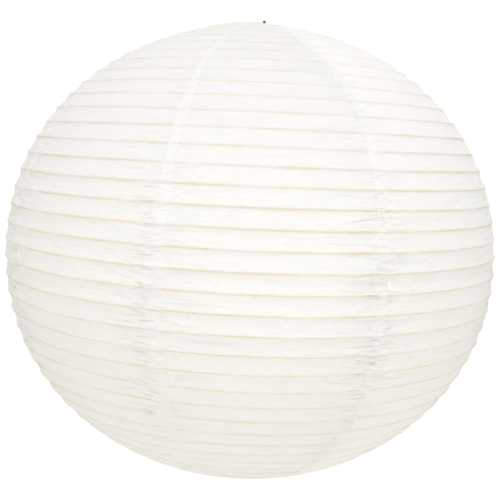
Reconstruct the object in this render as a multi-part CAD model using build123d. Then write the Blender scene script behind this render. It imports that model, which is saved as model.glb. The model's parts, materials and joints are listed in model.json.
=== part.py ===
from build123d import *
import math
import os

# Hanging paper lantern: a globe of white paper pasted over bamboo hoops between two
# steel rings, held open by a steel frame. Millimetres, +Z up. The origin is the centre
# of the lampholder hole in the holder plate, which is what the lantern hangs from.
# Angles are azimuths: 0 is the front (-Y) and they grow towards the right (+X).

# Driving dimensions of the globe
GLOBE_RADIUS = 250.0          # paper, at the widest hoop
UPPER_HEIGHT = 233.8          # widest level to the upper crown, were it closed
LOWER_HEIGHT = 228.7          # the same to the lower crown
UPPER_POWER = 0.943           # 1 is an ellipse; smaller gives fuller shoulders
LOWER_POWER = 0.97
TOP_RING_RADIUS = 38.0        # centreline of the ring round the top mouth
BOTTOM_RING_RADIUS = 42.0     # centreline of the ring round the bottom mouth
HOOP_COUNT = 38
HOOP_DIAMETER = 1.6
GORE_COUNT = 8
FIRST_SEAM_AZIMUTH = 20.7     # degrees
PAPER_THICKNESS = 0.25
PAPER_GAP = 0.3               # paper to the bamboo inside it

# Driving dimensions of the steelwork
RING_WIRE_DIAMETER = 2.4
FRAME_WIRE_DIAMETER = 2.3
WIRE_GAP = 0.05               # wires that bear on one another
TIP_GAP = 0.15                # hook tip to the side of the ring
PLATE_THICKNESS = 1.5
PLATE_RADIUS = 27.0
LAMPHOLDER_RADIUS = 20.5
PLATE_BELOW_TOP = 34.0        # plate to the level of the top mouth
LUG_WIDTH = 10.0
LUG_CORNER_RADIUS = 4.0
LUG_END_RADIUS = 37.0
LEG_RADIUS = 32.0             # axis of the globe to the axis of a leg
EYE_CLEARANCE = 0.08          # radial, leg in its eye
LEG_END_RADIUS = 25.0
ARM_START_RADIUS = 22.0
ARM_RISE_RADIUS = 28.5
ARM_SHELF_RADIUS = 34.2
ARM_BENDS = (3.0, 2.5, 1.6)   # bend radii from the plate outwards
LEG_BENDS = (3.0, 2.5, 1.6)   # from the upper end down
TIP_ABOVE_PAPER = 3.2
TIP_BELOW_PAPER = 3.0
SLIT_RADIUS = 2.0             # hole in the paper round a hook tip
WELD_DEPTH = 0.15
COLLAR_THICKNESS = 0.3
COLLAR_GAP = 0.1
COLLAR_SPAN = 164.0           # degrees, each of the two collars of a ring

SAMPLES = 4000


def meridian(angle):
    """Radius of the paper at a meridian angle, and its height above the widest level."""
    if angle > 0:
        height = UPPER_HEIGHT * math.sin(angle) ** UPPER_POWER
    else:
        height = -LOWER_HEIGHT * math.sin(-angle) ** LOWER_POWER
    return GLOBE_RADIUS * math.cos(angle), height


def meridian_stations():
    """The two rings' levels and the hoops' levels between, evenly spaced along the paper."""
    low = -math.acos(BOTTOM_RING_RADIUS / GLOBE_RADIUS)
    high = math.acos(TOP_RING_RADIUS / GLOBE_RADIUS)
    curve = [meridian(low + (high - low) * i / SAMPLES) for i in range(SAMPLES + 1)]
    lengths = [0.0]
    for here, there in zip(curve, curve[1:]):
        lengths.append(lengths[-1] + math.dist(here, there))
    stations = []
    for number in range(HOOP_COUNT + 2):
        wanted = lengths[-1] * number / (HOOP_COUNT + 1)
        index = min(range(SAMPLES + 1), key=lambda i: abs(lengths[i] - wanted))
        before = curve[max(index - 1, 0)]
        after = curve[min(index + 1, SAMPLES)]
        run = math.dist(before, after)
        normal = ((after[1] - before[1]) / run, (before[0] - after[0]) / run)
        stations.append((curve[index], normal))
    return stations


STATIONS = meridian_stations()
WIDEST_LEVEL = PLATE_BELOW_TOP - STATIONS[-1][0][1]
BOTTOM_HEIGHT = STATIONS[0][0][1] + WIDEST_LEVEL
RING_INSET = PAPER_THICKNESS + 2 * COLLAR_GAP + COLLAR_THICKNESS + RING_WIRE_DIAMETER / 2
TOP_RING_HEIGHT = PLATE_BELOW_TOP - RING_INSET
BOTTOM_RING_HEIGHT = BOTTOM_HEIGHT + RING_INSET
BEARING = (RING_WIRE_DIAMETER + FRAME_WIRE_DIAMETER) / 2 + WIRE_GAP
TIP_REACH = (RING_WIRE_DIAMETER + FRAME_WIRE_DIAMETER) / 2 + TIP_GAP
TOP_TIP_RADIUS = TOP_RING_RADIUS + TIP_REACH
BOTTOM_TIP_RADIUS = BOTTOM_RING_RADIUS + TIP_REACH


def inset(station, depth):
    """The point that lies depth inside the paper's outer face at a station."""
    (radius, height), (outward, upward) = station
    return radius - depth * outward, height + WIDEST_LEVEL - depth * upward


def at_azimuth(shape, azimuth):
    """A shape drawn in the XZ plane towards +X, turned to face an azimuth."""
    return Rot(0, 0, azimuth - 90) * shape


def bent_wire(points, diameter, bends):
    """A round wire bent along points in the XZ plane, with a radius for each bend."""
    corners = [(x, 0, z) for x, z in points]
    path = FilletPolyline(*corners, radius=list(bends))
    profile = Plane(origin=path @ 0, z_dir=path % 0) * Circle(diameter / 2)
    return sweep(profile, path=path)


def paper_gore(number):
    """One of the lens-shaped sheets: flat from hoop to hoop, curved round the globe."""
    outer = [inset(station, 0) for station in STATIONS]
    inner = [inset(station, PAPER_THICKNESS) for station in STATIONS]
    outline = make_face(Plane.XZ * Polyline(*outer, *reversed(inner), close=True))
    span = 360 / GORE_COUNT
    start = FIRST_SEAM_AZIMUTH + span * (number - 1)
    gore = at_azimuth(revolve(outline, axis=Axis.Z, revolution_arc=span), start)
    for azimuth, radius, height in hook_slits():
        if (azimuth - start) % 360 < span:
            hole = Pos(radius, 0, height) * Cylinder(SLIT_RADIUS, 4 * SLIT_RADIUS)
            gore = gore - at_azimuth(hole, azimuth)
    return gore


def hook_slits():
    """Azimuth, radius and height of each place where a hook tip comes through the paper."""
    top = [(azimuth, TOP_TIP_RADIUS, PLATE_BELOW_TOP) for azimuth in (0, 180)]
    bottom = [(azimuth, BOTTOM_TIP_RADIUS, BOTTOM_HEIGHT) for azimuth in (90, 270)]
    return top + bottom


def bamboo_hoop(number):
    """A split-bamboo hoop, just inside the paper's corner at its level."""
    depth = PAPER_THICKNESS + PAPER_GAP + HOOP_DIAMETER / 2
    radius, height = inset(STATIONS[number], depth)
    return Pos(0, 0, height) * Torus(radius, HOOP_DIAMETER / 2)


def steel_ring(radius, height):
    """A ring of wire round one mouth."""
    return Pos(0, 0, height) * Torus(radius, RING_WIRE_DIAMETER / 2)


def paper_collar(radius, height, azimuth):
    """The paper's end turned over the inner side of a ring, between two hooks."""
    inside = RING_WIRE_DIAMETER / 2 + COLLAR_GAP
    band = Circle(inside + COLLAR_THICKNESS) - Circle(inside)
    inner_half = Pos(-RING_WIRE_DIAMETER, 0) * Rectangle(2 * RING_WIRE_DIAMETER, 4 * RING_WIRE_DIAMETER)
    section = Plane.XZ * Pos(radius, height) * (band & inner_half)
    collar = revolve(section, axis=Axis.Z, revolution_arc=COLLAR_SPAN)
    return at_azimuth(collar, azimuth - COLLAR_SPAN / 2)


def holder_plate():
    """A punched steel plate with the lampholder hole and an eye for each leg."""
    outline = Circle(PLATE_RADIUS) + RectangleRounded(2 * LUG_END_RADIUS, LUG_WIDTH, LUG_CORNER_RADIUS)
    eye = Circle(FRAME_WIRE_DIAMETER / 2 + EYE_CLEARANCE)
    holes = Circle(LAMPHOLDER_RADIUS) + Pos(LEG_RADIUS, 0) * eye + Pos(-LEG_RADIUS, 0) * eye
    return Pos(0, 0, -PLATE_THICKNESS / 2) * extrude(outline - holes, PLATE_THICKNESS)


def top_arm(azimuth):
    """A wire welded on the plate that rises under the top ring, its tip outside the ring."""
    plate_level = (PLATE_THICKNESS + FRAME_WIRE_DIAMETER) / 2 - WELD_DEPTH
    shelf_level = TOP_RING_HEIGHT - BEARING
    points = [
        (ARM_START_RADIUS, plate_level),
        (ARM_RISE_RADIUS, plate_level),
        (ARM_SHELF_RADIUS, shelf_level),
        (TOP_TIP_RADIUS, shelf_level),
        (TOP_TIP_RADIUS, PLATE_BELOW_TOP + TIP_ABOVE_PAPER),
    ]
    return at_azimuth(bent_wire(points, FRAME_WIRE_DIAMETER, ARM_BENDS), azimuth)


def leg(azimuth):
    """A long wire that slides in its eye: its foot hooks over the bottom ring, and its
    upper end is bent inwards over the plate as a stop."""
    stop_level = PLATE_THICKNESS / 2 + LEG_BENDS[0] + WIRE_GAP
    foot_level = BOTTOM_RING_HEIGHT + BEARING
    points = [
        (LEG_END_RADIUS, stop_level),
        (LEG_RADIUS, stop_level),
        (LEG_RADIUS, foot_level),
        (BOTTOM_TIP_RADIUS, foot_level),
        (BOTTOM_TIP_RADIUS, BOTTOM_HEIGHT - TIP_BELOW_PAPER),
    ]
    return at_azimuth(bent_wire(points, FRAME_WIRE_DIAMETER, LEG_BENDS), azimuth)


def lantern():
    """Every piece of the lantern by name."""
    pieces = {
        "holder_plate": holder_plate(),
        "arm_front": top_arm(0),
        "arm_back": top_arm(180),
        "leg_right": leg(90),
        "leg_left": leg(270),
        "top_ring": steel_ring(TOP_RING_RADIUS, TOP_RING_HEIGHT),
        "bottom_ring": steel_ring(BOTTOM_RING_RADIUS, BOTTOM_RING_HEIGHT),
        "top_collar_right": paper_collar(TOP_RING_RADIUS, TOP_RING_HEIGHT, 90),
        "top_collar_left": paper_collar(TOP_RING_RADIUS, TOP_RING_HEIGHT, 270),
        "bottom_collar_front": paper_collar(BOTTOM_RING_RADIUS, BOTTOM_RING_HEIGHT, 0),
        "bottom_collar_back": paper_collar(BOTTOM_RING_RADIUS, BOTTOM_RING_HEIGHT, 180),
    }
    for number in range(1, GORE_COUNT + 1):
        pieces[f"gore_{number}"] = paper_gore(number)
    for number in range(1, HOOP_COUNT + 1):
        pieces[f"hoop_{number:02d}"] = bamboo_hoop(number)
    return pieces


os.makedirs("parts", exist_ok=True)
for name, piece in lantern().items():
    export_step(piece, f"parts/{name}.step")
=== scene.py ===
import json
import math

import bpy
import numpy as np
from mathutils import Matrix, Vector


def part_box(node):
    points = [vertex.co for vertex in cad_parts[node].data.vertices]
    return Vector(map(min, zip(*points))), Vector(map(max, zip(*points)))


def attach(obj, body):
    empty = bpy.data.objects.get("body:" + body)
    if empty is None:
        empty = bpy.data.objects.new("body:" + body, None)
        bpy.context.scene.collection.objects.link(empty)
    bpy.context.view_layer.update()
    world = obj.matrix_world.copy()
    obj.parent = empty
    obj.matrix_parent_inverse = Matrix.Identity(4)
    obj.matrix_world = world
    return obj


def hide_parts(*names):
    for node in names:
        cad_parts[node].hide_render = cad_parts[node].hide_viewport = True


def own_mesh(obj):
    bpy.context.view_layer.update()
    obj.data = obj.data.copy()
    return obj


# A paper lantern shade in metres, in the CAD frame: +Z up, origin at the lampholder hole.
# Azimuths are in degrees: 0 is the front (-Y) and they grow towards the right (+X).

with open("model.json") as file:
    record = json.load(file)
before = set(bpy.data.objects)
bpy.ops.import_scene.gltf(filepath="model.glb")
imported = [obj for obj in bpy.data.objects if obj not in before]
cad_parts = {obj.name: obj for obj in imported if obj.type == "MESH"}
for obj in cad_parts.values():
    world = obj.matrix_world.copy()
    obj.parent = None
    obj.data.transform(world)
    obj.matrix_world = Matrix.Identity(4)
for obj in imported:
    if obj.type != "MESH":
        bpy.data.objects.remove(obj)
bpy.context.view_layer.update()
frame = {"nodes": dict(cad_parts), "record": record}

MM = 0.001

# The sheets of paper
GORE_COUNT = 8
FIRST_SEAM = 20.7                 # azimuth of the first gore's left edge
PAPER_THICKNESS = 0.12 * MM
LAP_LIFT = 0.25 * MM              # a lap lies this far outside the sheet under it
# Each seam, in mm: how far its upper and lower halves lie right of its meridian, then how wide
# its lap is in the upper and the lower half
SEAMS = (
    (-6.0, -7.0, 8.0, 8.5),
    (1.5, -1.0, 9.0, 12.0),
    (-1.0, 2.0, 8.0, 10.0),
    (2.0, -2.5, 10.0, 9.0),
    (0.5, 1.5, 8.5, 13.0),
    (-1.5, 1.0, 9.0, 10.0),
    (1.0, -3.0, 8.0, 11.0),
    (-2.6, -8.5, 8.5, 16.0),
)
FINE_COLUMN = 1.5 * MM            # spacing near a seam, at the widest level
COARSE_COLUMN = 3.4 * MM
FINE_MARGIN = 24 * MM
LAP_COLUMNS = 6
BAND_STEPS = (0.0, 0.03, 0.065, 0.12, 0.2, 0.29, 0.38, 0.47, 0.56, 0.65, 0.74, 0.82, 0.89, 0.94, 0.97)
SAG = 0.95 * MM                   # how far the paper dips between two hoops
RIDGE = 0.5 * MM                  # how far the pasted bamboo stands out
RIDGE_WIDTH = 0.9 * MM
RIM_LIFT = 2.0 * MM               # the turned end stands this far up left of the front hook
SLIT = 1.55 * MM                  # radius of the hole round a hook tip
TENT = 0.6 * MM                   # how far a hook tip lifts the paper round its hole
TENT_RADIUS = 2.6 * MM
FRAME_WIRE = 2.3 * MM
PITCH = 17.4                      # mm of paper from hoop to hoop
SHEET_APART = 3.0                 # metres between two sheets' places in the noise

# Where the camera stands, about the globe's centre
CAMERA_DISTANCE = 0.9925
CAMERA_AZIMUTH = -6.2
CAMERA_ELEVATION = 6.55
CAMERA_ROLL = 2.47
LENS = 67.9

FLOOR_BELOW = 2.1                 # from the lantern's lowest paper to the floor
FLOOR_RADIUS = 4.4

# The studio's light
SURROUND_COLOUR = (1.0, 0.985, 0.955, 1)
SURROUND_STRENGTH = 1.055
BOX_DISTANCE = 2.6
KEY_POWER = 22.5
KEY_COLOUR = (0.9, 0.935, 1.0)
FILL_POWER = 15.5
FILL_COLOUR = (1.0, 0.985, 0.955)

# Paper colours: thinner and thicker patches, fibres, a lap, and bamboo showing through, darkened with
# painted shade of the fold under each hoop
PAPER_THIN = (0.875, 0.869, 0.86, 1)
PAPER_THICK = (0.915, 0.912, 0.906, 1)
PAPER_FIBRE = (0.78, 0.76, 0.73, 1)
PAPER_LAP = (0.945, 0.942, 0.938, 1)
PAPER_RIB_AND_SHADE = (0.82, 0.75, 0.58, 1)
FIBRE_SHARE = 0.10
LAP_WHITENING = 0.45
LAP_HIDES = 0.6                   # share of the bamboo's tint that a lap hides
RIB_CONTRAST = 2.4                # how much the bamboo's tint varies along a hoop
RIB_OFFSET = -0.5
LIGHT_THROUGH = 0.28
CREASE_RELIEF = 1.05              # crease lines against the pulp's relief
RELIEF_DEPTH = 0.82 * MM

# Which way each hook tip lies from the axis
HOOK_SIDES = {
    "arm_front": (0, -1),
    "arm_back": (0, 1),
    "leg_right": (1, 0),
    "leg_left": (-1, 0),
}


def measure_hoops():
    """Radius and height of each ring's and hoop's centreline, from the bottom up, and half its
    thickness."""
    names = [n for n in frame["nodes"] if n.startswith("hoop_")]
    circles = []
    for name in ["bottom_ring", *sorted(names), "top_ring"]:
        low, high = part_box(name)
        half = (high.z - low.z) / 2
        circles.append(((high.x - low.x) / 2 - half, (high.z + low.z) / 2, half))
    return np.array(circles)


HOOPS = measure_hoops()
TOP_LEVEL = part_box("gore_1")[1].z
BOTTOM_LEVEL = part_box("gore_1")[0].z
CENTRE = Vector((0, 0, (TOP_LEVEL + BOTTOM_LEVEL) / 2))
GLOBE_RADIUS = float(HOOPS[:, 0].max())


# ---------------------------------------------------------------- noise

def lattice(column, row, seed):
    """A repeatable random number from -1 to 1 for each whole point of a grid."""
    mixed = column.astype(np.int64) * 374761393 + row.astype(np.int64) * 668265263 + seed * 362437
    mixed = (mixed ^ (mixed >> 13)) * 1274126177
    mixed = (mixed ^ (mixed >> 16)) & 0xFFFFFF
    return mixed / float(0x7FFFFF) - 1.0


def noise(x, y, seed):
    """Smooth noise from -1 to 1 with features one unit wide."""
    column = np.floor(x)
    row = np.floor(y)
    across = x - column
    along = y - row
    across = across * across * (3 - 2 * across)
    along = along * along * (3 - 2 * along)
    low = lattice(column, row, seed) * (1 - across) + lattice(column + 1, row, seed) * across
    high = lattice(column, row + 1, seed) * (1 - across) + lattice(column + 1, row + 1, seed) * across
    return low * (1 - along) + high * along


def creases(x, y, seed):
    """Sharp ridges along the zero lines of the noise, from 0 to 1."""
    return (1 - np.abs(noise(x, y, seed))) ** 3


# ---------------------------------------------------------------- paper

def profile():
    """Points up the paper from mouth to mouth: radius, height, outward normal, place in the band from
    0 to 1, distance to the nearest hoop, length from the bottom mouth and number of the band."""
    tangent = np.gradient(HOOPS[:, :2], axis=0)
    tangent /= np.linalg.norm(tangent, axis=1)[:, None]
    normal = np.stack([tangent[:, 1], -tangent[:, 0]], axis=1)
    corner = HOOPS[:, :2] + normal * (HOOPS[:, 2:] + PAPER_THICKNESS)
    corner[0] = (HOOPS[0, 0] + 0.1 * MM, BOTTOM_LEVEL)
    corner[-1] = (HOOPS[-1, 0] + 0.1 * MM, TOP_LEVEL)
    rows = []
    length = 0.0
    for band in range(len(HOOPS) - 1):
        start, end = corner[band], corner[band + 1]
        run = np.linalg.norm(end - start)
        steps = BAND_STEPS + ((1.0,) if band == len(HOOPS) - 2 else ())
        for u in steps:
            point = start + (end - start) * u
            facing = normal[band] * (1 - u) + normal[band + 1] * u
            facing = facing / np.linalg.norm(facing)
            rows.append([*point, *facing, u, min(u, 1 - u) * run, length + u * run, band])
        length += run
    return np.array(rows).T


def seam_azimuth(number):
    """Left edge of a gore, in degrees."""
    return FIRST_SEAM + 360 / GORE_COUNT * (number - 1)


def smooth_step(value, low, high):
    """0 below low, 1 above high, and a smooth rise between."""
    share = np.clip((value - low) / (high - low), 0, 1)
    return share * share * (3 - 2 * share)


def lap_width(length, seam):
    """Width in metres of the lap that covers a seam, at each place up the globe."""
    along = length / MM
    _, _, upper, lower = SEAMS[seam - 1]
    base = lower + (upper - lower) * smooth_step(along, 360, 440)
    base = base * (0.6 + 0.4 * smooth_step(-np.abs(along - 320), -290, -150))
    wander = 1.2 * noise(along / 40, np.full_like(along, seam * 3.1), 12)
    torn = 0.5 * noise(along / 5, np.full_like(along, seam * 4.7), 13)
    return (base + wander + torn) * MM


def seam_shift(length, seam):
    """How far a seam lies right of its meridian, in metres."""
    along = length / MM
    upper, lower, _, _ = SEAMS[seam - 1]
    base = lower + (upper - lower) * smooth_step(along, 360, 440)
    lean = (-6.0 if seam == 1 else 2.0) * smooth_step(along, 500, 600)
    wide = 1.2 * noise(along / 110, np.full_like(along, seam * 5.7), 21)
    fine = 0.6 * noise(along / 25, np.full_like(along, seam * 9.1), 22)
    ends = np.clip(np.minimum(along, along.max() - along) / 40, 0, 1)
    return (base + lean + wide + fine) * ends * MM


def crease_strength(band):
    """How creased the paper is in each band, from the bottom up: most just below the middle."""
    return 0.25 + 0.75 * np.exp(-((band - 17) / 9) ** 2)


def crease(x, t, start, length, low, high, bend, rise, width):
    """One fold line: a sharp crest, or a sharp valley where rise is negative, that runs from low to
    high in the band and fades out along its length. All in mm; x runs away from the seam, t up the band."""
    run = x - start
    level = low + (high - low) * (1 - np.exp(-np.clip(run, 0, None) / bend))
    taper = np.clip(run / 2.5, 0, 1) * np.clip(1 - run / length, 0, 1) ** 0.7
    return rise * taper * np.exp(-np.abs(t - level) / width)


def band_creases(x, t, key, band, from_lap):
    """The creases that fan out from one seam in one band."""
    draw = np.random.default_rng(key)
    strength = crease_strength(band)
    total = np.zeros_like(x)
    for _ in range(draw.integers(6, 12)):
        low = draw.uniform(1.5, PITCH - 1.5)
        high = min(max(low + draw.normal(0, 4.5), 1.0), PITCH - 1.0)
        start = from_lap + draw.uniform(-3, 11)
        length = draw.uniform(16, 95)
        bend = draw.uniform(5, 26)
        rise = draw.choice((-1, 1)) * draw.uniform(0.35, 1.0) * strength
        total += crease(x, t, start, length, low, high, bend, rise, draw.uniform(1.4, 3.0))
    for _ in range(draw.integers(2, 5)):
        low = draw.uniform(1.5, PITCH - 1.5)
        high = min(max(low + draw.normal(0, 1.2), 1.0), PITCH - 1.0)
        start = draw.uniform(10, 95)
        length = draw.uniform(20, 60)
        rise = draw.choice((-1, 1)) * draw.uniform(0.3, 1.1) * (0.3 + 0.7 * strength)
        total += crease(x, t, start, length, low, high, 40.0, rise, draw.uniform(1.3, 2.6))
    return total


def crumple(sideways, length, seam_distance, band):
    """Low uneven relief all over the sheet, stronger beside the seams, in metres."""
    x = sideways / MM
    y = length / MM
    near = np.exp(-seam_distance / (16 * MM))
    height = 0.10 * noise(x / 34, y / 6.5, 32) + 0.05 * noise(x / 9, y / 4.5, 35)
    height = height + (0.06 + 0.3 * near) * (creases(x / 9 + band, y / 5.5, 34) - 0.35)
    return height * (0.35 + 0.65 * np.exp(-((band - 17) / 12) ** 2)) * MM


def rim_lift(azimuth):
    """How far the turned paper stands above the top ring's level at each azimuth in radians."""
    degrees = (np.degrees(azimuth) + 180) % 360 - 180
    raised = smooth_step(degrees, -118, -92) * smooth_step(-degrees, -6.5, -4.5)
    uneven = 0.25 * noise(degrees / 9, np.zeros_like(degrees), 61)
    return (raised * (1 + 0.5 * uneven) + 0.5 * uneven) * RIM_LIFT


def near_hooks(points):
    """Distance of each point from the nearest hook tip's axis."""
    nearest = np.full(points.shape[:2], 1.0)
    for node, side in HOOK_SIDES.items():
        low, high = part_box(node)
        radius = FRAME_WIRE / 2
        reach = max(abs(low.x), abs(high.x), abs(low.y), abs(high.y)) - radius
        off = np.hypot(points[..., 0] - side[0] * reach, points[..., 1] - side[1] * reach)
        same_end = (points[..., 2] > CENTRE.z) == node.startswith("arm")
        nearest = np.minimum(nearest, np.where(same_end, off, 1.0))
    return nearest


def column_places():
    """Shares of a gore's width, left seam to right: fine beside the seams, coarse between."""
    width = 2 * math.pi * GLOBE_RADIUS / GORE_COUNT
    fine = np.arange(0, FINE_MARGIN, FINE_COLUMN)
    coarse = np.linspace(FINE_MARGIN, width - FINE_MARGIN, round((width - 2 * FINE_MARGIN) / COARSE_COLUMN))
    return np.concatenate([fine, coarse, (width - fine)[::-1]]) / width


def gore_mesh(number):
    """One sheet: its two faces' grids of points, which of them lie in a hook's hole, and its
    attributes."""
    radius, height, normal_r, normal_z, u, edge, length, band = profile()
    next_seam = number % GORE_COUNT + 1
    places = column_places()
    beyond = np.concatenate([np.zeros_like(places), np.linspace(0, 1, LAP_COLUMNS + 1)[1:]])[None, :]
    across = np.concatenate([places, np.ones(LAP_COLUMNS)])[None, :]
    r = radius[:, None]
    start = np.radians(seam_azimuth(number)) + (seam_shift(length, number) / radius)[:, None]
    end = np.radians(seam_azimuth(number + 1)) + (seam_shift(length, next_seam) / radius)[:, None]
    lap = (lap_width(length, next_seam) / radius)[:, None]
    first_lap = lap_width(length, number)[:, None]
    azimuth = start + (end - start) * across + lap * beyond
    to_left = (azimuth - start) * r
    to_right = (end - azimuth) * r
    shape = azimuth.shape
    u, edge, length, band = [np.broadcast_to(a[:, None], shape) for a in (u, edge, length, band)]
    own = to_left + SHEET_APART * number
    sideways = np.where(to_right < 0, SHEET_APART * next_seam - to_right, own)
    seam_distance = np.minimum(to_left, np.abs(to_right))
    next_lap = lap_width(length[:, 0], next_seam)[:, None]

    folds = np.zeros(shape)
    for level in range(len(HOOPS) - 1):
        rows = np.nonzero(band[:, 0] == level)[0]
        t = u[rows] * PITCH
        left_key = 1000 * number + level
        right_key = 1000 * number + 500 + level
        folds[rows] += band_creases(to_left[rows] / MM, t, left_key, level, first_lap[rows].mean() / MM)
        from_edge = (to_right + next_lap)[rows] / MM
        folds[rows] += band_creases(from_edge, t, right_key, level, 2.0)
    folds = folds * np.sin(np.pi * u) ** 0.45 * MM

    over = smooth_step(-to_right, -1.2 * MM, -0.2 * MM)
    beneath = smooth_step(first_lap - to_left, -2.0 * MM, 0.5 * MM)
    folds = folds * (1 - over) * (1 - beneath)
    taut = 0.35 + 0.65 * smooth_step(-band, -33, -22) * smooth_step(band, -3, 12)
    depth = SAG * taut * (1 + 0.4 * noise(sideways / 0.11 + band * 4.7, band * 1.3, 41))
    rounded = np.sqrt(edge ** 2 + (0.5 * MM) ** 2) - 0.5 * MM
    share = np.clip(rounded / (PITCH * MM), 0, 0.5)
    dip = 4 * depth * share * (1 - share)
    hoop = np.round(band + u)
    proud = RIDGE * (0.6 + 0.4 * taut) * (1 + 0.45 * noise(sideways / 0.034, hoop * 7.7, 42))
    below = smooth_step(u, 0.45, 0.55) * taut
    ridge = proud * (1 + 0.7 * below) * (1 - np.exp(-(edge / (RIDGE_WIDTH * (1 - 0.2 * below))) ** 2))
    pinned = np.clip(edge / (2.5 * MM), 0, 1)
    out = folds + crumple(sideways, length, seam_distance, band) * pinned - dip - ridge
    out = out + LAP_LIFT * over * (1 - 0.45 * beyond)
    place_r = r + out * normal_r[:, None]
    from_top = length.max() - length
    lift = rim_lift(azimuth) * np.exp(-(from_top / 0.026) ** 2)
    place_z = height[:, None] + out * normal_z[:, None] + lift
    points = np.stack([place_r * np.sin(azimuth), -place_r * np.cos(azimuth), place_z], axis=-1)
    inner_r = place_r - PAPER_THICKNESS * normal_r[:, None]
    inner_z = place_z - PAPER_THICKNESS * normal_z[:, None]
    under = np.stack([inner_r * np.sin(azimuth), -inner_r * np.cos(azimuth), inner_z], axis=-1)
    hooks = near_hooks(points)
    tent = TENT * np.exp(-(hooks / TENT_RADIUS) ** 2)
    away = np.sign(normal_z)[:, None] * tent
    points[..., 2] += away
    under[..., 2] += away
    under_lap = smooth_step(first_lap - to_left, -0.6 * MM, 0.6 * MM)
    covered = np.maximum(under_lap, over)
    attributes = {
        # The bamboo's tint through the paper, full in the middle bands and fainter in the top and bottom
        # ones; the fading at the top is painted light, standing in for the tint washed out where light falls
        # full on it.
        "bamboo": np.exp(-(edge / (0.95 * MM)) ** 2) * (0.3 + 0.7 * taut),
        "covered": covered,
        "doubled": covered * (0.3 + 0.7 * smooth_step(length, 0.33, 0.47)),
        "creased": (0.15 + 0.85 * np.exp(-seam_distance / (30 * MM))) * crease_strength(band),
        "across": azimuth * r,
        "along": length,
    }
    return points, under, hooks < SLIT, attributes


def shell(name, outer, inner, attributes, hole=None):
    """A closed thin sheet from two grids of points, without the points marked as a hole. Every point
    has a number for each attribute."""
    rows, columns = outer.shape[:2]
    index = np.arange(rows * columns).reshape(rows, columns)
    corners = [index[:-1, :-1], index[:-1, 1:], index[1:, 1:], index[1:, :-1]]
    quads = np.stack(corners, axis=-1).reshape(-1, 4)
    if hole is not None:
        quads = quads[~hole.ravel()[quads].any(axis=1)]
    used, flat = np.unique(quads, return_inverse=True)
    quads = flat.reshape(-1, 4)
    count = len(used)
    edges = np.concatenate([quads[:, [k, (k + 1) % 4]] for k in range(4)])
    code = edges[:, 0] * count + edges[:, 1]
    border = edges[~np.isin(code, edges[:, 1] * count + edges[:, 0])]
    a, b = border.T
    rim = np.stack([b, a, a + count, b + count], axis=-1)
    faces = np.concatenate([quads, quads[:, ::-1] + count, rim])
    points = np.concatenate([outer.reshape(-1, 3)[used], inner.reshape(-1, 3)[used]])
    mesh = bpy.data.meshes.new(name)
    mesh.vertices.add(2 * count)
    mesh.loops.add(faces.size)
    mesh.polygons.add(len(faces))
    mesh.vertices.foreach_set("co", points.astype(np.float32).ravel())
    mesh.loops.foreach_set("vertex_index", faces.astype(np.int32).ravel())
    mesh.polygons.foreach_set("loop_start", np.arange(0, faces.size, 4, dtype=np.int32))
    mesh.polygons.foreach_set("use_smooth", np.ones(len(faces), bool))
    for key, values in attributes.items():
        layer = mesh.attributes.new(key, "FLOAT", "POINT")
        values = values.ravel()[used]
        layer.data.foreach_set("value", np.concatenate([values, values]).astype(np.float32))
    mesh.update(calc_edges=True)
    ends = np.empty(2 * len(mesh.edges), np.int32)
    mesh.edges.foreach_get("vertices", ends)
    on_border = np.zeros(2 * count, bool)
    on_border[rim.ravel()] = True
    sharp = on_border[ends.reshape(-1, 2)].all(axis=1)
    mesh.attributes.new("sharp_edge", "BOOLEAN", "EDGE").data.foreach_set("value", sharp)
    mesh.validate()
    piece = bpy.data.objects.new(name, mesh)
    bpy.context.scene.collection.objects.link(piece)
    return piece


def make_gores(paper):
    """The eight sheets, each riding on the frame."""
    for number in range(1, GORE_COUNT + 1):
        outer, inner, hole, attributes = gore_mesh(number)
        piece = shell(f"paper_gore_{number}", outer, inner, attributes, hole)
        piece.data.materials.append(paper)
        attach(piece, "frame")
        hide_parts(f"gore_{number}")
        radius, _, _, _, _, _, length, _ = profile()
        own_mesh(piece)


def collar(name, node, body, ring, hooks_at, side, up, paper):
    """The paper's end, turned over half of a ring and hanging down inside it with a torn edge.
    side picks the half; up is 1 at the top ring and -1 at the bottom one."""
    low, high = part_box(ring)
    wire = (high.z - low.z) / 2
    radius = (high.x - low.x) / 2 - wire
    level = (high.z + low.z) / 2
    first = math.radians(hooks_at + 180 * side)
    gap = 3.4 * MM / radius
    azimuth = np.linspace(first + gap, first + math.pi - gap, 220)[None, :]
    share = np.linspace(0, 1, 12)[:, None]
    degrees = np.degrees(azimuth)
    torn = 1.1 * noise(degrees / 4, degrees * 0 + up, 71) + 0.8 * noise(degrees / 15, degrees * 0 + up, 72)
    pleat = creases(degrees / 5.5, share * 1.2 + up * 9, 73) - 0.4
    angle = np.radians(-20 + 200 * np.clip(share / 0.6, 0, 1))
    lift = rim_lift(azimuth) if up > 0 else 0.0 * azimuth
    around = wire + 0.55 * MM
    r = radius + around * np.cos(angle) + 0.28 * MM * pleat * share
    z = around * np.sin(angle) + lift * np.clip(np.sin(angle), 0, 1) ** 0.5
    tail = np.clip((share - 0.6) / 0.4, 0, 1)
    z = z - tail * (4.2 + torn) * MM
    r = r + tail * 0.5 * MM
    place_z = level + up * z
    place_z = np.broadcast_to(place_z, r.shape)
    points = np.stack([r * np.sin(azimuth), -r * np.cos(azimuth), place_z], axis=-1)
    inward = np.stack([np.cos(angle) * np.sin(azimuth), -np.cos(angle) * np.cos(azimuth),
                       up * np.sin(angle) * np.ones_like(azimuth)], axis=-1)
    under = points - PAPER_THICKNESS * inward
    flat = np.zeros(r.shape)
    attributes = {
        "bamboo": flat,
        "covered": flat,
        "doubled": flat,
        "creased": flat,
        "across": flat + azimuth * radius,
        "along": flat + share * 12 * MM,
    }
    piece = shell(name, points, under, attributes)
    piece.data.materials.append(paper)
    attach(piece, body)
    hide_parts(node)


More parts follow.
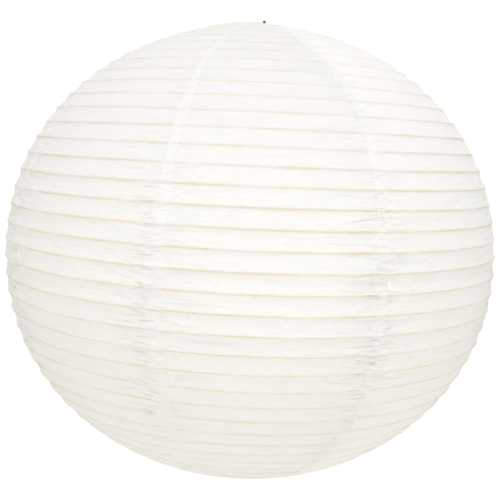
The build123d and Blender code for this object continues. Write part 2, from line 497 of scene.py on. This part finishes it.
def make_collars(paper):
    """The four turned ends, two at each ring, parted at the hooks."""
    collar("rim_top_right", "top_collar_right", "frame", "top_ring", 0, 0, 1, paper)
    collar("rim_top_left", "top_collar_left", "frame", "top_ring", 0, 1, 1, paper)
    collar("rim_bottom_back", "bottom_collar_back", "stretcher", "bottom_ring", 90, 0, -1, paper)
    collar("rim_bottom_front", "bottom_collar_front", "stretcher", "bottom_ring", 90, 1, -1, paper)


def hoop_strip(number, bamboo):
    """A split strip bent into a hoop, its thinned ends lapped, with slight waves and knots."""
    radius, level, half = HOOPS[number]
    lap = 0.024 / radius
    first = math.radians((number * 137.5) % 360)
    turns = np.linspace(0, 2 * math.pi + lap, 200)
    thin = 0.45 + 0.55 * np.clip(np.minimum(turns, turns[-1] - turns) / lap, 0, 1)
    spread = np.linspace(0.14, -0.14, len(turns)) * MM
    spread = spread * np.exp(-np.minimum(turns, turns[-1] - turns) / (2 * lap))
    azimuth = first + turns
    wave = 0.06 * MM * noise(azimuth * 4, azimuth * 0 + number, 81) - 0.2 * MM
    rise = 0.16 * MM * noise(azimuth * 3, azimuth * 0 + number, 82)
    knots = 1 + 0.14 * np.clip(noise(azimuth * 9, azimuth * 0 + number, 83) - 0.6, 0, 1) * 2.5
    section = np.radians(np.arange(0, 360, 36))
    flat = np.sign(np.cos(section)) * np.abs(np.cos(section)) ** 0.6 * 0.48 * MM
    tall = np.sign(np.sin(section)) * np.abs(np.sin(section)) ** 0.6 * 0.8 * MM
    r = radius + wave[:, None] + spread[:, None] + flat * thin[:, None] * knots[:, None]
    z = level + rise[:, None] + tall * knots[:, None]
    points = np.stack([r * np.sin(azimuth)[:, None], -r * np.cos(azimuth)[:, None], z], axis=-1)
    rows, columns = points.shape[:2]
    index = np.arange(rows * columns).reshape(rows, columns)
    right = np.roll(index, -1, axis=1)
    sides = np.stack([index[:-1], index[1:], right[1:], right[:-1]], axis=-1).reshape(-1, 4)
    mesh = bpy.data.meshes.new(f"bamboo_hoop_{number:02d}")
    ends = [index[0].tolist(), index[-1, ::-1].tolist()]
    mesh.from_pydata(points.reshape(-1, 3).tolist(), [], sides.tolist() + ends)
    mesh.shade_smooth()
    mesh.update()
    piece = bpy.data.objects.new(mesh.name, mesh)
    bpy.context.scene.collection.objects.link(piece)
    mesh.materials.append(bamboo)
    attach(piece, f"hoop_{number:02d}")
    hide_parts(f"hoop_{number:02d}")


# ---------------------------------------------------------------- materials

def new_material(name):
    """A material with its node tree, and its Principled node."""
    material = bpy.data.materials.new(name)
    material.use_nodes = True
    return material, material.node_tree, material.node_tree.nodes["Principled BSDF"]


def add(tree, kind, **values):
    """A node of one kind with some of its properties or inputs set."""
    node = tree.nodes.new(kind)
    for key, value in values.items():
        if hasattr(node, key):
            setattr(node, key, value)
        else:
            node.inputs[key.replace("_", " ")].default_value = value
    return node


def mix_colour(tree, factor, first, second):
    """The second colour over the first by a factor, each a socket or a plain value."""
    node = tree.nodes.new("ShaderNodeMix")
    node.data_type = "RGBA"
    for socket, value in zip((node.inputs[0], node.inputs[6], node.inputs[7]), (factor, first, second)):
        if isinstance(value, bpy.types.NodeSocket):
            tree.links.new(value, socket)
        else:
            socket.default_value = value
    return node.outputs[2]


def calculate(tree, operation, first, second=0.0):
    """A maths node on sockets or plain values."""
    node = tree.nodes.new("ShaderNodeMath")
    node.operation = operation
    for socket, value in zip(node.inputs, (first, second)):
        if isinstance(value, bpy.types.NodeSocket):
            tree.links.new(value, socket)
        else:
            socket.default_value = value
    return node.outputs[0]


def texture(tree, kind, scale, **values):
    """A texture over object coordinates."""
    coordinates = tree.nodes.new("ShaderNodeTexCoord")
    mapping = tree.nodes.new("ShaderNodeMapping")
    mapping.inputs["Scale"].default_value = scale
    tree.links.new(coordinates.outputs["Object"], mapping.inputs["Vector"])
    node = add(tree, kind, **values)
    tree.links.new(mapping.outputs["Vector"], node.inputs["Vector"])
    return node


def sheet_texture(tree, kind, across, along, **values):
    """A texture in the sheet's own measure, with features of the given size in metres each way."""
    join = tree.nodes.new("ShaderNodeCombineXYZ")
    for socket, name, size in zip(join.inputs, ("across", "along"), (across, along)):
        place = add(tree, "ShaderNodeAttribute", attribute_name=name).outputs["Fac"]
        tree.links.new(calculate(tree, "DIVIDE", place, size), socket)
    node = add(tree, kind, **values)
    tree.links.new(join.outputs["Vector"], node.inputs["Vector"])
    return node


def fold_lines(tree, across, along, sharpness):
    """Meandering crease lines: 1 on a line and falling away from it on both sides."""
    field = sheet_texture(tree, "ShaderNodeTexNoise", across, along, Scale=1.0, Detail=1.5, Roughness=0.5)
    off = calculate(tree, "ABSOLUTE", calculate(tree, "SUBTRACT", field.outputs["Fac"], 0.5))
    line = calculate(tree, "SUBTRACT", 1.0, calculate(tree, "MULTIPLY", off, sharpness))
    return calculate(tree, "MAXIMUM", line, 0.0)


def rice_paper():
    """Thin fibrous white paper that lets some light through and shows the bamboo pasted behind it, with
    painted shade along each hoop.
    """
    material, tree, shader = new_material("rice_paper")
    fibre = sheet_texture(tree, "ShaderNodeTexNoise", 0.0016, 0.009, Scale=1.0, Detail=3.0, Roughness=0.6)
    cloud = sheet_texture(tree, "ShaderNodeTexNoise", 0.05, 0.03, Scale=1.0, Detail=4.0, Roughness=0.6)
    patch = sheet_texture(tree, "ShaderNodeTexNoise", 0.05, 0.006, Scale=1.0, Detail=2.0, Roughness=0.5)
    bamboo = add(tree, "ShaderNodeAttribute", attribute_name="bamboo").outputs["Fac"]
    doubled = add(tree, "ShaderNodeAttribute", attribute_name="doubled").outputs["Fac"]
    base = mix_colour(tree, cloud.outputs["Fac"], PAPER_THIN, PAPER_THICK)
    fibre_share = calculate(tree, "MULTIPLY", fibre.outputs["Fac"], FIBRE_SHARE)
    base = mix_colour(tree, fibre_share, base, PAPER_FIBRE)
    base = mix_colour(tree, calculate(tree, "MULTIPLY", doubled, LAP_WHITENING), base, PAPER_LAP)
    covered = add(tree, "ShaderNodeAttribute", attribute_name="covered").outputs["Fac"]
    hidden = calculate(tree, "SUBTRACT", 1.0, calculate(tree, "MULTIPLY", covered, LAP_HIDES))
    uneven = calculate(tree, "MULTIPLY_ADD", patch.outputs["Fac"], RIB_CONTRAST)
    uneven.node.inputs[2].default_value = RIB_OFFSET
    # Lays the bamboo's tint over the paper: partly the bamboo's own colour, partly painted shade of the fold
    # under each hoop.
    shown = calculate(tree, "MULTIPLY", calculate(tree, "MULTIPLY", bamboo, hidden), uneven)
    base = mix_colour(tree, shown, base, PAPER_RIB_AND_SHADE)
    tree.links.new(base, shader.inputs["Base Color"])
    shader.inputs["Roughness"].default_value = 0.85
    shader.inputs["Specular IOR Level"].default_value = 0.12
    pulp = sheet_texture(tree, "ShaderNodeTexNoise", 0.007, 0.0035, Scale=1.0, Detail=2.5, Roughness=0.55)
    fibre_relief = calculate(tree, "MULTIPLY", fibre.outputs["Fac"], 0.4)
    relief = calculate(tree, "ADD", pulp.outputs["Fac"], fibre_relief)
    creased = add(tree, "ShaderNodeAttribute", attribute_name="creased").outputs["Fac"]
    proud = fold_lines(tree, 0.045, 0.008, 7.0)
    sunk = fold_lines(tree, 0.028, 0.0065, 7.0)
    lines = calculate(tree, "MULTIPLY", calculate(tree, "SUBTRACT", proud, sunk), creased)
    relief = calculate(tree, "ADD", relief, calculate(tree, "MULTIPLY", lines, CREASE_RELIEF))
    bump = add(tree, "ShaderNodeBump", Strength=1.0, Distance=RELIEF_DEPTH)
    tree.links.new(relief, bump.inputs["Height"])
    tree.links.new(bump.outputs["Normal"], shader.inputs["Normal"])
    glow = tree.nodes.new("ShaderNodeBsdfTranslucent")
    tree.links.new(base, glow.inputs["Color"])
    tree.links.new(bump.outputs["Normal"], glow.inputs["Normal"])
    both = tree.nodes.new("ShaderNodeMixShader")
    both.inputs[0].default_value = LIGHT_THROUGH
    tree.links.new(shader.outputs[0], both.inputs[1])
    tree.links.new(glow.outputs[0], both.inputs[2])
    tree.links.new(both.outputs[0], tree.nodes["Material Output"].inputs["Surface"])
    return material


def bamboo_strip():
    """Pale split bamboo with fine grain along the hoop."""
    material, tree, shader = new_material("bamboo")
    grain = texture(tree, "ShaderNodeTexNoise", (60, 60, 2600), Scale=1.0, Detail=4.0, Roughness=0.6)
    colour = mix_colour(tree, grain.outputs["Fac"], (0.72, 0.58, 0.34, 1), (0.86, 0.77, 0.55, 1))
    tree.links.new(colour, shader.inputs["Base Color"])
    shader.inputs["Roughness"].default_value = 0.55
    bump = add(tree, "ShaderNodeBump", Strength=0.4, Distance=0.0002)
    tree.links.new(grain.outputs["Fac"], bump.inputs["Height"])
    tree.links.new(bump.outputs["Normal"], shader.inputs["Normal"])
    return material


def painted_steel():
    """Black paint on wire and plate, with a fine orange-peel surface and dust that varies its tone and
    roughness.
    """
    material, tree, shader = new_material("black_steel")
    mottle = texture(tree, "ShaderNodeTexNoise", (500, 500, 500), Scale=1.0, Detail=3.0, Roughness=0.6)
    dust = texture(tree, "ShaderNodeTexNoise", (60, 60, 60), Scale=1.0, Detail=4.0, Roughness=0.6)
    colour = mix_colour(tree, dust.outputs["Fac"], (0.012, 0.012, 0.013, 1), (0.035, 0.034, 0.033, 1))
    tree.links.new(colour, shader.inputs["Base Color"])
    rough = calculate(tree, "MULTIPLY_ADD", dust.outputs["Fac"], 0.25)
    rough.node.inputs[2].default_value = 0.3
    tree.links.new(rough, shader.inputs["Roughness"])
    bump = add(tree, "ShaderNodeBump", Strength=0.3, Distance=0.0001)
    tree.links.new(mottle.outputs["Fac"], bump.inputs["Height"])
    tree.links.new(bump.outputs["Normal"], shader.inputs["Normal"])
    return material


def ring_steel():
    """Drawn steel wire with faint draw marks and tarnish."""
    material, tree, shader = new_material("ring_wire")
    marks = texture(tree, "ShaderNodeTexNoise", (90, 90, 1800), Scale=1.0, Detail=3.0, Roughness=0.6)
    colour = mix_colour(tree, marks.outputs["Fac"], (0.38, 0.37, 0.36, 1), (0.62, 0.61, 0.60, 1))
    tree.links.new(colour, shader.inputs["Base Color"])
    shader.inputs["Metallic"].default_value = 1.0
    rough = calculate(tree, "MULTIPLY_ADD", marks.outputs["Fac"], 0.25)
    rough.node.inputs[2].default_value = 0.28
    tree.links.new(rough, shader.inputs["Roughness"])
    return material


def paint_cad(slot_materials):
    """Gives every CAD node the material of its slot."""
    slots = {part["node"]: part["material_slot"] for part in frame["record"]["subparts"]}
    for name, node in frame["nodes"].items():
        node.data.materials.clear()
        node.data.materials.append(slot_materials[slots[name]])
        node.data.shade_smooth()


# ---------------------------------------------------------------- studio

def make_camera():
    """A camera in front of the globe, a little above its middle and to the left, and slightly rolled."""
    azimuth = math.radians(CAMERA_AZIMUTH)
    elevation = math.radians(CAMERA_ELEVATION)
    back = Vector((math.sin(azimuth) * math.cos(elevation),
                   -math.cos(azimuth) * math.cos(elevation),
                   math.sin(elevation)))
    data = bpy.data.cameras.new("camera")
    data.lens = LENS
    data.sensor_width = 36.0
    data.clip_start = 0.05
    data.clip_end = 50.0
    camera = bpy.data.objects.new("camera", data)
    aim = (-back).to_track_quat("-Z", "Y").to_matrix().to_4x4()
    roll = Matrix.Rotation(math.radians(CAMERA_ROLL), 4, "Z")
    camera.matrix_world = Matrix.Translation(CENTRE + back * CAMERA_DISTANCE) @ aim @ roll
    bpy.context.scene.collection.objects.link(camera)
    bpy.context.scene.camera = camera


def softbox(name, azimuth, elevation, distance, size, power, colour):
    """A square area light that faces the globe."""
    a = math.radians(azimuth)
    e = math.radians(elevation)
    out = Vector((math.sin(a) * math.cos(e), -math.cos(a) * math.cos(e), math.sin(e)))
    data = bpy.data.lights.new(name, "AREA")
    data.size = size
    data.energy = power
    data.color = colour
    light = bpy.data.objects.new(name, data)
    light.location = CENTRE + out * distance
    light.rotation_mode = "QUATERNION"
    light.rotation_quaternion = out.to_track_quat("Z", "Y")
    bpy.context.scene.collection.objects.link(light)


def make_studio():
    """A white surround, a pale floor far below the hanging shade, and soft light from above the front
    and from below it."""
    scene = bpy.context.scene
    scene.view_settings.view_transform = "Standard"
    world = bpy.data.worlds.new("studio")
    scene.world = world
    world.use_nodes = True
    background = world.node_tree.nodes["Background"]
    background.inputs["Color"].default_value = SURROUND_COLOUR
    background.inputs["Strength"].default_value = SURROUND_STRENGTH
    softbox("key", 0, 62, BOX_DISTANCE, 1.2, KEY_POWER, KEY_COLOUR)
    softbox("fill", -6, -24, BOX_DISTANCE, 1.8, FILL_POWER, FILL_COLOUR)
    mesh = bpy.data.meshes.new("floor")
    level = BOTTOM_LEVEL - FLOOR_BELOW
    turns = np.linspace(0, 2 * math.pi, 97)[:-1]
    corners = [(FLOOR_RADIUS * math.sin(a), -FLOOR_RADIUS * math.cos(a), level) for a in turns]
    mesh.from_pydata(corners, [], [tuple(range(len(corners)))])
    floor = bpy.data.objects.new("floor", mesh)
    scene.collection.objects.link(floor)
    material, tree, shader = new_material("floor")
    shade = texture(tree, "ShaderNodeTexNoise", (3, 3, 3), Scale=1.0, Detail=2.0, Roughness=0.5)
    colour = mix_colour(tree, shade.outputs["Fac"], (0.92, 0.91, 0.885, 1), (0.95, 0.94, 0.92, 1))
    tree.links.new(colour, shader.inputs["Base Color"])
    shader.inputs["Roughness"].default_value = 0.9
    mesh.materials.append(material)


make_studio()
make_camera()
PAPER = rice_paper()
BAMBOO = bamboo_strip()
paint_cad({"rice_paper": PAPER, "bamboo": BAMBOO, "ring_wire": ring_steel(), "black_steel": painted_steel()})
make_gores(PAPER)
make_collars(PAPER)
for hoop_number in range(1, len(HOOPS) - 1):
    hoop_strip(hoop_number, BAMBOO)
